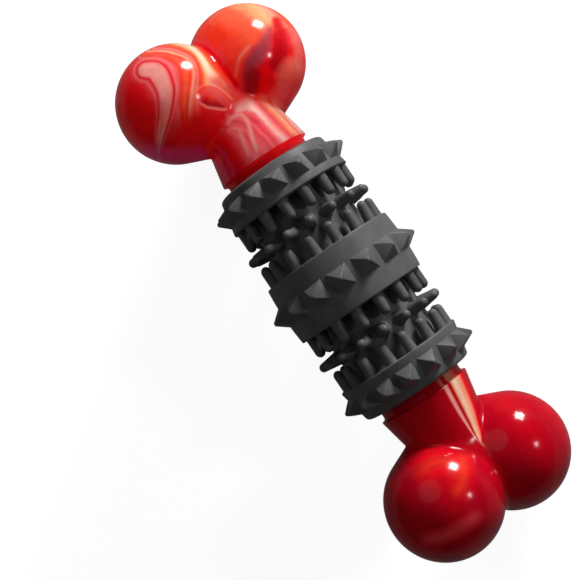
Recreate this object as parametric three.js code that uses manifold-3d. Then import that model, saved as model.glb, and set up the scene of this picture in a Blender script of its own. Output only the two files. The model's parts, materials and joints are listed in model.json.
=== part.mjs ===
// A dog chew bone: two glossy nylon bone ends, plugged together inside a rubber chew sleeve.
// Millimetres, +Z up. The bone lies along X on the plane z = 0, as it lies when a dog drops it:
// on one lobe of each end and on the lowest spike of the sleeve's middle band.

import * as THREE from 'three';
import { mergeVertices } from 'three/addons/utils/BufferGeometryUtils.js';
import Module from 'manifold-3d';

const wasm = await Module();
wasm.setup();

// Lobes of the bone ends
const BONE_LENGTH = 189;
const LOBE_RADIUS = 19.1;
const LOBE_SPREAD = 28.4; // between the centres of the two lobes of one end
const LOBE_FILLET = 2.6; // in the valley between two lobes
const SHOULDER_REACH = 1.8; // how far a lobe's blunt shoulder runs past its ball towards the neck

// Necks, collars and the shank under the sleeve
const COLLAR_RADIUS = 15.8;
const COLLAR_STEP = 1.4; // from the collar's rim down to the land beside the sleeve
const COVE_RADIUS = 1.2; // where the land runs up into the collar
const NECK_TAPER = 11.5; // degrees, from the rim towards the lobes
const LAND_LENGTH = 3.3; // bare shank between the sleeve and the collar
const JOURNAL_RADIUS = 12; // the shank inside the sleeve

// Plug joint between the two bone ends
const PLUG_RADIUS = 7;
const PLUG_FLATS = 11.4; // across the two flats that keep both lobe pairs in line
const PLUG_LENGTH = 26;
const PLUG_CLEARANCE = 0.2;
const PLUG_END_GAP = 0.6;
const BUTT_GAP = 0.3;

// Body of the sleeve
const SLEEVE_LENGTH = 83.5;
const SLEEVE_CLEARANCE = 0.25; // around the journal
const SLEEVE_END_CLEARANCE = 0.3; // to the lands at both ends
const CORE_RADIUS = 15.95; // between the bands
const MIDDLE_BAND_WIDTH = 20.1;
const MIDDLE_BAND_RADIUS = 22.5;
const MIDDLE_BAND_CROWN = 0.5;
const END_BAND_WIDTH = 11.7;
const END_BAND_INNER_RADIUS = 21.4;
const END_BAND_OUTER_RADIUS = 19.3;
const END_BAND_ROUND = 1.3; // outer edge beside the land

// Spikes, square pyramids with blunt tips
const COUNT_AROUND = 16; // spikes in a band, and pegs in a row
const SPIKE_HEIGHT = 3.85;
const SPIKE_TIP = 0.9;
const MIDDLE_SPIKE_BASE = 6.6;
const END_SPIKE_BASE = 5.9;

// Round pegs: standing rows on the core, and lying rows on the flanks of the bands
const STANDING_PEG_ROOT = 4.6;
const STANDING_PEG_TIP = 3;
const STANDING_PEG_HEIGHT = 6.8;
const LYING_PEG_ROOT = 4;
const LYING_PEG_TIP = 3.2;
const LYING_PEG_LENGTH = 6.9;
const MIDDLE_PEG_INSET = 1; // from the middle band's edge to its lying pegs
const END_PEG_INSET = 0.6;

// How the sleeve is turned, and how deep spikes and pegs root in it
const SLEEVE_TURN = 8; // degrees, from a spike straight up
const ROOT_DEPTH = 0.8;

// Facets
const SHANK_SIDES = 48;
const LOBE_SIDES = 30;
const LOBE_STEPS = 12;
const SHOULDER_SIDES = 12;
const FILLET_STEPS = 3;
const PEG_SIDES = 8;
const TIP_STEPS = 2;
const WELD = 1e-3;

// Places worked out from the sizes
const degrees = THREE.MathUtils.degToRad;
const lobeOffset = LOBE_SPREAD / 2;
const lobeStation = BONE_LENGTH / 2 - LOBE_RADIUS;
const landStation = SLEEVE_LENGTH / 2 + SLEEVE_END_CLEARANCE;
const collarStation = SLEEVE_LENGTH / 2 + LAND_LENGTH;
const landRadius = COLLAR_RADIUS - COLLAR_STEP;
const neckEndRadius = COLLAR_RADIUS - (lobeStation - collarStation) * Math.tan(degrees(NECK_TAPER));
const boreRadius = JOURNAL_RADIUS + SLEEVE_CLEARANCE;
const middleEdge = MIDDLE_BAND_WIDTH / 2;
const endBandEdge = SLEEVE_LENGTH / 2 - END_BAND_WIDTH;
const endBandSlope = Math.atan2(END_BAND_INNER_RADIUS - END_BAND_OUTER_RADIUS, END_BAND_WIDTH);
const pitch = 360 / COUNT_AROUND;
const middleTipRadius = MIDDLE_BAND_RADIUS + MIDDLE_BAND_CROWN + SPIKE_HEIGHT;

// The lowest spike leans from straight down by the sleeve's turn, and carries the bone's middle.
const lean = degrees(SLEEVE_TURN - pitch * Math.round(SLEEVE_TURN / pitch));
const axisHeight = middleTipRadius * Math.cos(lean) + (SPIKE_TIP / 2) * Math.abs(Math.sin(lean));
const lobeDrop = THREE.MathUtils.clamp((axisHeight - LOBE_RADIUS) / lobeOffset, -1, 1);
const restRoll = Math.asin(lobeDrop);

const nylonSwirled = new THREE.MeshStandardMaterial({ color: 0xc4222a, roughness: 0.18, metalness: 0 });
const nylonDeepRed = new THREE.MeshStandardMaterial({ color: 0x9c0a14, roughness: 0.18, metalness: 0 });
const blackRubber = new THREE.MeshStandardMaterial({ color: 0x2b2b2c, roughness: 0.75, metalness: 0 });

// Solids from three.js geometry

function toSolid(geometry, matrix = new THREE.Matrix4()) {
  const bare = geometry.clone().applyMatrix4(matrix);
  bare.deleteAttribute('normal');
  bare.deleteAttribute('uv');
  const merged = mergeVertices(bare, WELD);
  const corners = merged.index.array;
  const triangles = [];
  for (let i = 0; i < corners.length; i += 3) {
    const [a, b, c] = [corners[i], corners[i + 1], corners[i + 2]];
    if (a !== b && b !== c && c !== a) triangles.push(a, b, c);
  }
  return new wasm.Manifold(new wasm.Mesh({
    numProp: 3,
    vertProperties: Float32Array.from(merged.attributes.position.array),
    triVerts: Uint32Array.from(triangles),
  }));
}

function toMesh(name, solid, material) {
  const { vertProperties, triVerts } = solid.getMesh();
  const geometry = new THREE.BufferGeometry();
  geometry.setAttribute('position', new THREE.BufferAttribute(vertProperties, 3));
  geometry.setIndex(new THREE.BufferAttribute(triVerts, 1));
  geometry.computeVertexNormals();
  const mesh = new THREE.Mesh(geometry, material);
  mesh.name = name;
  return mesh;
}

function point(radius, along) {
  return new THREE.Vector2(radius, along);
}

function arc(radius, along, size, from, to, steps) {
  const clockwise = to < from;
  return new THREE.EllipseCurve(radius, along, size, size, from, to, clockwise).getPoints(steps);
}

const ALONG_X = new THREE.Matrix4().makeRotationZ(-Math.PI / 2);

function turnedAlongX(profile, sides) {
  return toSolid(new THREE.LatheGeometry(profile, sides), ALONG_X);
}

// Bone ends, made with the lobes outwards along +X and side by side along Y

function lobePair() {
  const filletCentre = Math.sqrt((LOBE_RADIUS + LOBE_FILLET) ** 2 - lobeOffset ** 2);
  const tangent = Math.atan2(lobeOffset, filletCentre);
  const profile = [
    ...arc(0, -lobeOffset, LOBE_RADIUS, -Math.PI / 2, tangent, LOBE_STEPS),
    ...arc(filletCentre, 0, LOBE_FILLET, Math.PI + tangent, Math.PI - tangent, FILLET_STEPS),
    ...arc(0, lobeOffset, LOBE_RADIUS, -tangent, Math.PI / 2, LOBE_STEPS),
  ];
  const place = new THREE.Matrix4().makeTranslation(lobeStation, 0, 0);
  return toSolid(new THREE.LatheGeometry(profile, LOBE_SIDES), place);
}

// A blunt cone that touches a lobe all round and points along the neck.
function shoulder(side) {
  const apex = LOBE_RADIUS + SHOULDER_REACH;
  const touch = Math.acos(LOBE_RADIUS / apex);
  const base = LOBE_RADIUS * Math.cos(touch);
  const cone = new THREE.ConeGeometry(LOBE_RADIUS * Math.sin(touch), apex - base, SHOULDER_SIDES);
  cone.translate(0, (apex + base) / 2, 0);
  const place = new THREE.Matrix4().makeTranslation(lobeStation, side * lobeOffset, 0);
  return toSolid(cone, place.multiply(new THREE.Matrix4().makeRotationZ(Math.PI / 2)));
}

function neckAndShank() {
  const coveStart = collarStation - COVE_RADIUS;
  const profile = [
    point(0, BUTT_GAP / 2),
    point(JOURNAL_RADIUS, BUTT_GAP / 2),
    point(JOURNAL_RADIUS, landStation),
    point(landRadius, landStation),
    ...arc(landRadius + COVE_RADIUS, coveStart, COVE_RADIUS, Math.PI, Math.PI / 2, FILLET_STEPS),
    point(COLLAR_RADIUS, collarStation),
    point(neckEndRadius, lobeStation),
    point(0, lobeStation),
  ];
  return turnedAlongX(profile, SHANK_SIDES);
}

function flattedBar(radius, acrossFlats, start, end) {
  const half = Math.min(acrossFlats / 2, radius);
  const corner = Math.asin(half / radius);
  const section = new THREE.Shape();
  section.absarc(0, 0, radius, -corner, corner, false);
  section.absarc(0, 0, radius, Math.PI - corner, Math.PI + corner, false);
  section.closePath();
  const bar = new THREE.ExtrudeGeometry(section, {
    depth: end - start,
    bevelEnabled: false,
    curveSegments: SHANK_SIDES / 4,
  });
  const place = new THREE.Matrix4().makeTranslation(start, 0, 0);
  return toSolid(bar, place.multiply(new THREE.Matrix4().makeRotationY(Math.PI / 2)));
}

function boneEnd() {
  return neckAndShank().add(lobePair()).add(shoulder(1)).add(shoulder(-1));
}

function plugBoneEnd() {
  return boneEnd().add(flattedBar(PLUG_RADIUS, PLUG_FLATS, -PLUG_LENGTH, ROOT_DEPTH));
}

function socketBoneEnd() {
  const radius = PLUG_RADIUS + PLUG_CLEARANCE;
  const flats = PLUG_FLATS + 2 * PLUG_CLEARANCE;
  return boneEnd().subtract(flattedBar(radius, flats, -ROOT_DEPTH, PLUG_LENGTH + PLUG_END_GAP));
}

// Chew sleeve, made along X with a spike straight up

function sleeveBody() {
  const end = SLEEVE_LENGTH / 2;
  const roundCentre = END_BAND_OUTER_RADIUS - END_BAND_ROUND;
  const half = [
    point(MIDDLE_BAND_RADIUS, middleEdge),
    point(CORE_RADIUS, middleEdge),
    point(CORE_RADIUS, endBandEdge),
    point(END_BAND_INNER_RADIUS, endBandEdge),
    ...arc(roundCentre, end - END_BAND_ROUND, END_BAND_ROUND, endBandSlope, Math.PI / 2, FILLET_STEPS),
    point(boreRadius, end),
  ];
  const otherHalf = half.map((p) => point(p.x, -p.y)).reverse();
  const crown = point(MIDDLE_BAND_RADIUS + MIDDLE_BAND_CROWN, 0);
  const profile = [...otherHalf, crown, ...half, otherHalf[0]];
  return turnedAlongX(profile, SHANK_SIDES);
}

function spike(base) {
  const slope = (base - SPIKE_TIP) / 2 / SPIKE_HEIGHT;
  const sunkBase = base + 2 * slope * ROOT_DEPTH;
  const cornerToSide = Math.SQRT1_2;
  const height = SPIKE_HEIGHT + ROOT_DEPTH;
  const pyramid = new THREE.CylinderGeometry(SPIKE_TIP * cornerToSide, sunkBase * cornerToSide, height, 4);
  pyramid.rotateY(Math.PI / 4);
  pyramid.translate(0, height / 2 - ROOT_DEPTH, 0);
  return pyramid.rotateX(Math.PI / 2);
}

function peg(root, tip, length) {
  const slope = (root - tip) / 2 / (length - tip / 2);
  const sunkRadius = root / 2 + slope * ROOT_DEPTH;
  const profile = [
    point(0, -ROOT_DEPTH),
    point(sunkRadius, -ROOT_DEPTH),
    ...arc(0, length - tip / 2, tip / 2, 0, Math.PI / 2, TIP_STEPS),
  ];
  return new THREE.LatheGeometry(profile, PEG_SIDES).rotateX(Math.PI / 2);
}

function ring(geometry, place, phase) {
  const copies = [];
  for (let i = 0; i < COUNT_AROUND; i += 1) {
    const turn = new THREE.Matrix4().makeRotationX(-degrees(phase + i * pitch));
    copies.push(toSolid(geometry, turn.multiply(place)));
  }
  return copies;
}

// A place at a station on the axis, at a height over it, leaning along +X from straight out.
function leaning(station, height, angle) {
  const place = new THREE.Matrix4().makeTranslation(station, 0, height);
  return place.multiply(new THREE.Matrix4().makeRotationY(angle));
}

function spikeBands() {
  const station = endBandEdge + END_BAND_WIDTH / 2;
  const radius = (END_BAND_INNER_RADIUS + END_BAND_OUTER_RADIUS) / 2;
  const crown = MIDDLE_BAND_RADIUS + MIDDLE_BAND_CROWN;
  return [
    ...ring(spike(MIDDLE_SPIKE_BASE), leaning(0, crown, 0), 0),
    ...ring(spike(END_SPIKE_BASE), leaning(station, radius, endBandSlope), 0),
    ...ring(spike(END_SPIKE_BASE), leaning(-station, radius, -endBandSlope), 0),
  ];
}

function standingPegs() {
  const geometry = peg(STANDING_PEG_ROOT, STANDING_PEG_TIP, STANDING_PEG_HEIGHT);
  const station = (middleEdge + endBandEdge) / 2;
  const phase = pitch / 4;
  return [
    ...ring(geometry, leaning(station, CORE_RADIUS, 0), phase),
    ...ring(geometry, leaning(-station, CORE_RADIUS, 0), phase),
  ];
}

// Lying pegs taper on their inner side only, so that their outer lines run level with the axis.
function lyingPegs() {
  const geometry = peg(LYING_PEG_ROOT, LYING_PEG_TIP, LYING_PEG_LENGTH);
  const flare = Math.atan2((LYING_PEG_ROOT - LYING_PEG_TIP) / 2, LYING_PEG_LENGTH - LYING_PEG_TIP / 2);
  const outwards = Math.PI / 2 - flare;
  const middleRadius = MIDDLE_BAND_RADIUS - MIDDLE_PEG_INSET - LYING_PEG_ROOT / 2;
  const endRadius = END_BAND_INNER_RADIUS - END_PEG_INSET - LYING_PEG_ROOT / 2;
  const phase = -pitch / 4;
  return [
    ...ring(geometry, leaning(middleEdge, middleRadius, outwards), phase),
    ...ring(geometry, leaning(-middleEdge, middleRadius, -outwards), phase),
    ...ring(geometry, leaning(endBandEdge, endRadius, -outwards), phase),
    ...ring(geometry, leaning(-endBandEdge, endRadius, outwards), phase),
  ];
}

function chewSleeve() {
  return wasm.Manifold.union([sleeveBody(), ...spikeBands(), ...standingPegs(), ...lyingPegs()]);
}

// Assembly

const plugEnd = toMesh('plug_bone_end', plugBoneEnd(), nylonSwirled);
plugEnd.rotation.z = Math.PI;
const socketEnd = toMesh('socket_bone_end', socketBoneEnd(), nylonDeepRed);
const bone = new THREE.Group();
bone.rotation.x = -restRoll;
bone.add(plugEnd, socketEnd);

const sleeve = toMesh('chew_sleeve', chewSleeve(), blackRubber);
sleeve.rotation.x = -degrees(SLEEVE_TURN);

const chewBone = new THREE.Group();
chewBone.position.z = axisHeight;
chewBone.add(bone, sleeve);

export default chewBone;
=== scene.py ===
"""Looks of a dog chew bone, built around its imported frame.

Two glossy nylon bone ends meet inside a black rubber chew sleeve, which turns on their shank.
Everything is in metres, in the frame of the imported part: the bone lies along X on the plane z = 0.
"""

import json
import logging
import math
from abc import ABC, abstractmethod
from dataclasses import dataclass, field
from enum import Enum
from typing import Any, Optional, Sequence

import bpy
import numpy as np
from mathutils import Matrix, Vector


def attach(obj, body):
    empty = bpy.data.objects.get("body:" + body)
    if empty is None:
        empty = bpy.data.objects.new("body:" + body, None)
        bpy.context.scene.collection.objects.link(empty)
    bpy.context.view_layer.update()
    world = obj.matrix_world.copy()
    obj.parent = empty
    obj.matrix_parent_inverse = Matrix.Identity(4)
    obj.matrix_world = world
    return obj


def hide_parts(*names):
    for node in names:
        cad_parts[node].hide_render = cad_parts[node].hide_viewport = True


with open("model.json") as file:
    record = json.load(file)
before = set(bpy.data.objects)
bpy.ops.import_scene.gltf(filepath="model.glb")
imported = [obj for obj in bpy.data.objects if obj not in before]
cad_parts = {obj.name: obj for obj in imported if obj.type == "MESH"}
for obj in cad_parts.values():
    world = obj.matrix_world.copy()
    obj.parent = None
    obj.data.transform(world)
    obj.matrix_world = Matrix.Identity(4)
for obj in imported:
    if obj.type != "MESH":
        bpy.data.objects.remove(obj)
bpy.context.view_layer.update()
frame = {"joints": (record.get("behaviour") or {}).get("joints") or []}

MM = 0.001
TAU = 2.0 * math.pi
WHITE = (1.0, 1.0, 1.0, 1.0)
AXIS_HEIGHT = frame["joints"][0]["pos_m"][2]

log = logging.getLogger("chew_bone")

Point = tuple[float, float]
Colour = tuple[float, float, float]
Band = tuple[float, Colour] | tuple[float, Colour, float]
Poles = tuple[Sequence[float], Sequence[float]]
Input = float | Sequence[float] | bpy.types.NodeSocket
Inputs = dict[str | int, Input]


class EndKind(Enum):
    """The two bone ends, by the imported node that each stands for."""

    PLUG = "plug_bone_end"
    SOCKET = "socket_bone_end"


class Shape(Enum):
    """The shapes that stand in rings round the sleeve."""

    MIDDLE_SPIKE = "Middle spike"
    END_SPIKE = "End spike"
    STANDING_PEG = "Standing peg"
    LYING_PEG = "Lying peg"


# Meshes from rows of points


def arc(centre: Point, radius: float, start: float, end: float, steps: int) -> list[Point]:
    """Trace an arc in straight steps, between two angles in degrees from the axis of stations."""
    angles = np.radians(np.linspace(start, end, steps + 1))
    return [(centre[0] + radius * math.cos(a), centre[1] + radius * math.sin(a)) for a in angles]


def turned_rows(profile: Sequence[Point], sides: int) -> np.ndarray:
    """Turn a profile round the X axis.

    Args:
        profile: Stations on the axis and radii.
        sides: How many points go round.

    Returns:
        Rows of points, one row for each point of the profile.
    """
    line = np.asarray(profile)
    angles = np.linspace(0.0, TAU, sides, endpoint=False)
    rows = np.empty((len(line), sides, 3))
    rows[..., 0] = line[:, None, 0]
    rows[..., 1] = line[:, None, 1] * np.cos(angles)
    rows[..., 2] = line[:, None, 1] * np.sin(angles)
    return rows


def skin(name: str, rows: np.ndarray, poles: Optional[Poles] = None) -> bpy.types.Mesh:
    """Close rows of points into one mesh whose faces point outwards.

    Args:
        name: The mesh's name.
        rows: Rows of points that go round an axis, from its far end back.
        poles: The points that close the first and the last row, or None to join these two rows.

    Returns:
        The mesh.
    """
    count, sides = rows.shape[:2]
    index = np.arange(count * sides).reshape(count, sides)
    upper, lower = (index, np.roll(index, -1, axis=0)) if poles is None else (index[:-1], index[1:])
    quads = np.stack([upper, lower, np.roll(lower, -1, axis=1), np.roll(upper, -1, axis=1)], axis=-1)
    faces = quads.reshape(-1, 4).tolist()
    points = rows.reshape(-1, 3).tolist()
    if poles is not None:
        first, last = count * sides, count * sides + 1
        points += [list(pole) for pole in poles]
        top, bottom = index[0], index[-1]
        faces += [[first, int(a), int(b)] for a, b in zip(top, np.roll(top, -1))]
        faces += [[last, int(b), int(a)] for a, b in zip(bottom, np.roll(bottom, -1))]
    mesh = bpy.data.meshes.new(name)
    mesh.from_pydata(points, [], faces)
    mesh.shade_smooth()
    return mesh


def put_in_scene(name: str, data: bpy.types.ID) -> bpy.types.Object:
    """Make an object and link it to the scene.

    Args:
        name: The object's name.
        data: Its mesh, lamp or camera.

    Returns:
        The object.
    """
    made = bpy.data.objects.new(name, data)
    bpy.context.scene.collection.objects.link(made)
    return made


def place_piece(name: str, mesh: bpy.types.Mesh, body: str, node: str) -> bpy.types.Object:
    """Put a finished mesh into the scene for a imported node.

    Args:
        name: The piece's name.
        mesh: Its mesh, already in place.
        body: The body that it rides on.
        node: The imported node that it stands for.

    Returns:
        The piece.
    """
    piece = put_in_scene(name, mesh)
    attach(piece, body)
    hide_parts(node)
    return piece


def smooth_step(value: np.ndarray) -> np.ndarray:
    """Ease a value from 0 to 1, and hold it beyond these."""
    held = np.clip(value, 0.0, 1.0)
    return held * held * (3.0 - 2.0 * held)


def smooth_min(a: np.ndarray, b: np.ndarray, reach: np.ndarray | float) -> np.ndarray:
    """Join two distance fields with a valley that is rounded where they differ by less than the reach."""
    overlap = np.maximum(reach - np.abs(a - b), 0.0)
    return np.minimum(a, b) - overlap**2 / (4.0 * reach)


def smooth_line(points: Sequence[Point], steps: int = 24) -> np.ndarray:
    """Draw a smooth line through points.

    Args:
        points: The points, in order.
        steps: How many straight pieces go between two points.

    Returns:
        Many points on the line, both ends included.
    """
    knots = np.array(points)
    knots = np.concatenate([[2 * knots[0] - knots[1]], knots, [2 * knots[-1] - knots[-2]]])
    t = np.linspace(0.0, 1.0, steps, endpoint=False)[:, None]
    drawn = []
    for a, b, c, d in zip(knots, knots[1:], knots[2:], knots[3:]):
        bend = (2 * a - 5 * b + 4 * c - d) * t**2 + (3 * b - a - 3 * c + d) * t**3
        drawn.append(b + 0.5 * ((c - a) * t + bend))
    return np.concatenate([*drawn, knots[-2:-1]])


# Node trees


class NodeSheet:
    """Adds nodes to one tree and links them."""

    def __init__(self, tree: bpy.types.NodeTree) -> None:
        """Keep the tree that the nodes go into."""
        self.tree = tree

    @property
    def given(self) -> bpy.types.bpy_prop_collection:
        """The sockets that bring a group its inputs."""
        return self.tree.nodes["Group Input"].outputs

    def give(self, **results: bpy.types.NodeSocket) -> None:
        """Link results to a group's outputs, by name."""
        self.feed(self.tree.nodes["Group Output"], results)

    def feed(self, node: bpy.types.Node, inputs: Inputs) -> None:
        """Set or link a node's inputs.

        Args:
            node: The node.
            inputs: Values or sockets for its inputs, by name or by index.
        """
        for key, value in inputs.items():
            if isinstance(value, bpy.types.NodeSocket):
                self.tree.links.new(value, node.inputs[key])
            else:
                node.inputs[key].default_value = value

    def add(self, kind: str, inputs: Optional[Inputs] = None, **settings: Any) -> bpy.types.Node:
        """Add one node.

        Args:
            kind: The node's type.
            inputs: Values or sockets for its inputs, by name or by index.
            **settings: The node's own properties.

        Returns:
            The node.
        """
        node = self.tree.nodes.new(kind)
        for key, value in settings.items():
            setattr(node, key, value)
        self.feed(node, inputs or {})
        return node

    def math(self, operation: str, first: Input, second: Input = 0.0) -> bpy.types.NodeSocket:
        """Add a Math node of two inputs and return its result."""
        return self.add("ShaderNodeMath", {0: first, 1: second}, operation=operation).outputs[0]

    def noise(self, scale: Input, detail: float) -> bpy.types.NodeSocket:
        """Add a noise in the object's own space and return its value."""
        place = self.add("ShaderNodeTexCoord").outputs["Object"]
        return self.add("ShaderNodeTexNoise", {"Vector": place, "Scale": scale, "Detail": detail}).outputs[0]

    def stretch(self, value: Input, *ends: Input) -> bpy.types.NodeSocket:
        """Map the range between the first two ends to 0 to 1, or to the next two ends."""
        inputs = {0: value, **dict(enumerate(ends, start=1))}
        return self.add("ShaderNodeMapRange", inputs).outputs[0]

    def blend(self, cover: Input, below: Input, above: Input) -> bpy.types.NodeSocket:
        """Lay one colour over another and return the mix, by index because its sockets share their names."""
        return self.add("ShaderNodeMix", {0: cover, 6: below, 7: above}, data_type="RGBA").outputs[2]

    def ramp(self, value: Input, stops: Sequence[tuple[float, Colour, float]]) -> bpy.types.Node:
        """Add a colour ramp.

        Args:
            value: The value that is looked up.
            stops: Place, colour and cover of each stop.

        Returns:
            The ramp's node.
        """
        node = self.add("ShaderNodeValToRGB", {0: value})
        elements = node.color_ramp.elements
        while len(elements) < len(stops):
            elements.new(1.0)
        for element, (place, colour, cover) in zip(elements, stops):
            element.position = place
            element.color = (*colour, cover)
        return node


def new_group(name: str, kind: str, inputs: dict[str, Any], outputs: dict[str, str]) -> NodeSheet:
    """Make a node group with named sockets.

    Args:
        name: The group's name.
        kind: The tree's type.
        inputs: Each input's number, or its type of socket if it has none.
        outputs: Each output's type of socket.

    Returns:
        A sheet for the group, which has its input and output nodes.
    """
    number_sockets = {float: "NodeSocketFloat", int: "NodeSocketInt"}
    tree = bpy.data.node_groups.new(name, kind)
    for label, value in inputs.items():
        socket = number_sockets.get(type(value), value)
        item = tree.interface.new_socket(label, in_out="INPUT", socket_type=socket)
        if socket is not value:
            item.default_value = value
    for label, socket in outputs.items():
        tree.interface.new_socket(label, in_out="OUTPUT", socket_type=socket)
    tree.nodes.new("NodeGroupInput")
    tree.nodes.new("NodeGroupOutput")
    return NodeSheet(tree)


def new_material(name: str) -> tuple[bpy.types.Material, NodeSheet, bpy.types.Node]:
    """Make a material.

    Args:
        name: The material's name.

    Returns:
        The material, a sheet for its nodes, and its shader.
    """
    made = bpy.data.materials.new(name)
    made.use_nodes = True
    return made, NodeSheet(made.node_tree), made.node_tree.nodes["Principled BSDF"]


# Finishes


def melt_group() -> NodeSheet:
    """Build the group that stirs the melt.

    Returns:
        A sheet for the group, which gives a shift for the bands and a slow change of their tone.
    """
    sheet = new_group(
        "Melt flow",
        "ShaderNodeTree",
        {"Waves": 90.0, "Ripples": 4.0, "Wander": 0.6, "Darker": 0.85, "Lighter": 1.05},
        {"Shift": "NodeSocketFloat", "Tone": "NodeSocketFloat"},
    )
    given = sheet.given
    middle = 0.5
    ripple_share = 0.25
    tone_span = (0.3, 0.7)
    slow = sheet.noise(given["Waves"], detail=1.0)
    fine = sheet.noise(sheet.math("MULTIPLY", given["Waves"], given["Ripples"]), detail=2.0)
    ripple = sheet.math("MULTIPLY", sheet.math("SUBTRACT", fine, middle), ripple_share)
    stir = sheet.math("ADD", sheet.math("SUBTRACT", slow, middle), ripple)
    sheet.give(
        Shift=sheet.math("MULTIPLY", stir, given["Wander"]),
        Tone=sheet.stretch(fine, *tone_span, given["Darker"], given["Lighter"]),
    )
    return sheet


def skin_group() -> NodeSheet:
    """Build the group for a moulded surface.

    Returns:
        A sheet for the group, which gives a fine grain and patches of more and less gloss.
    """
    sheet = new_group(
        "Moulded skin",
        "ShaderNodeTree",
        {"Grain": 900.0, "Patches": 70.0, "Smooth": 0.1, "Dull": 0.2},
        {"Height": "NodeSocketFloat", "Roughness": "NodeSocketFloat", "Patch": "NodeSocketFloat"},
    )
    given = sheet.given
    patch_span = (0.35, 0.65)
    patch = sheet.stretch(sheet.noise(given["Patches"], detail=3.0), *patch_span)
    sheet.give(
        Height=sheet.noise(given["Grain"], detail=2.0),
        Roughness=sheet.stretch(patch, 0.0, 1.0, given["Smooth"], given["Dull"]),
        Patch=patch,
    )
    return sheet


def shared_group(name: str) -> bpy.types.NodeTree:
    """Return a shader group, which is built when a material first asks for it."""
    makers = {"Melt flow": melt_group, "Moulded skin": skin_group}
    return bpy.data.node_groups.get(name) or makers[name]().tree


@dataclass(frozen=True)
class MeltLayer(ABC):
    """A stream of the melt, made of bands; a few such layers are painted shade and painted sheen instead.

    A band is a place, a colour and, if it isn't whole, how much it covers the layers below. The sway is
    how far the bands wander, in their own measure.
    """

    name: str
    bands: tuple[Band, ...]
    sway: float = field(default=1.0, kw_only=True)

    @property
    def reach(self) -> float:
        """The last band's place."""
        return self.bands[-1][0]

    @property
    def stops(self) -> list[tuple[float, Colour, float]]:
        """The bands' places as shares of the reach, with their colours and covers."""
        return [(place / self.reach, colour, *(cover or [1.0])) for place, colour, *cover in self.bands]

    @abstractmethod
    def measure(self, points: np.ndarray, plan: np.ndarray) -> tuple[np.ndarray, np.ndarray]:
        """Find where points lie across the stream.

        Args:
            points: Points in the bone end's own frame, in millimetres.
            plan: Their stations along the bone and their offsets across it, seen flat.

        Returns:
            The places, in the bands' measure, and how much of the stream is left there.
        """


@dataclass(frozen=True)
class FoldLayer(MeltLayer):
    """A stream folded round a spine in the plan. Its bands are distances from it in millimetres.

    The lee is how far the bands go on the spine's right side, seen with its first point behind. The
    fades are the lengths over which the stream dies out towards the spine's two ends. The widths
    stretch the bands along the spine.
    """

    spine: tuple[Point, ...]
    lee: Optional[float] = None
    fade: Point = (0.0, 0.0)
    widths: tuple[float, ...] = (1.0,)

    def measure(self, points: np.ndarray, plan: np.ndarray) -> tuple[np.ndarray, np.ndarray]:
        """Measure how far points lie from the spine.

        Args:
            points: Points in the bone end's own frame, in millimetres; not used here.
            plan: Their stations along the bone and their offsets across it, seen flat.

        Returns:
            The distances, held back on the lee side, and how much of the stream is left there.
        """
        curve = smooth_line(self.spine)
        ahead = np.gradient(curve, axis=0)
        step = np.linalg.norm(ahead, axis=1)
        ahead /= step[:, None]
        near = np.zeros(len(plan), dtype=int)
        best = np.full(len(plan), np.inf)
        for index, knot in enumerate(curve):
            gap = np.hypot(plan[:, 0] - knot[0], plan[:, 1] - knot[1])
            near = np.where(gap < best, index, near)
            best = np.minimum(gap, best)
        offset = plan - curve[near]
        along = np.einsum("ij,ij->i", offset, ahead[near])
        along = np.clip(along, -step[near] / 2, step[near] / 2)
        offset = offset - along[:, None] * ahead[near]
        distance = np.linalg.norm(offset, axis=1)
        knots = np.linspace(0.0, len(curve) - 1.0, len(self.widths))
        spread = distance / np.interp(near + along / step[near], knots, self.widths)
        behind = np.cumsum(step)[near] + along
        left_over = np.ones(len(plan))
        for fade, gone in zip(self.fade, (behind, np.sum(step) - behind)):
            if fade > 0.0:
                left_over *= smooth_step(gone / fade)
        if self.lee is None:
            return spread, left_over
        least = 1e-6
        steepness = 0.8
        to_left = ahead[near, 0] * offset[:, 1] - ahead[near, 1] * offset[:, 0]
        share = smooth_step(0.5 - steepness * to_left / np.maximum(distance, least))
        return spread * (1.0 - share) + np.minimum(spread, self.lee) * share, left_over


@dataclass(frozen=True)
class StreamLayer(MeltLayer):
    """Streams between guide lines that run along the bone. A band's place counts the guides.

    Each guide holds its offsets at the stations, and the guides go from high to low offsets. The fade
    holds the stations where the streams have died out and where they are whole.
    """

    stations: tuple[float, ...]
    guides: tuple[tuple[float, ...], ...]
    fade: Point
    least_gap: float = 0.01

    def measure(self, points: np.ndarray, plan: np.ndarray) -> tuple[np.ndarray, np.ndarray]:
        """Count the guides up to each point.

        Args:
            points: Points in the bone end's own frame, in millimetres; not used here.
            plan: Their stations along the bone and their offsets across it, seen flat.

        Returns:
            The counts, and how much of the streams is left there.
        """
        station, offset = plan.T
        lines = []
        for guide in self.guides:
            drawn = smooth_line(tuple(zip(self.stations, guide)))
            lines.append(np.interp(station, drawn[:, 0], drawn[:, 1]))
        places = np.zeros(len(plan))
        for high, low in zip(lines, lines[1:]):
            places += np.clip((high - offset) / np.maximum(high - low, self.least_gap), 0.0, 1.0)
        gone, whole = self.fade
        return places, smooth_step((station - gone) / (whole - gone))


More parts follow.
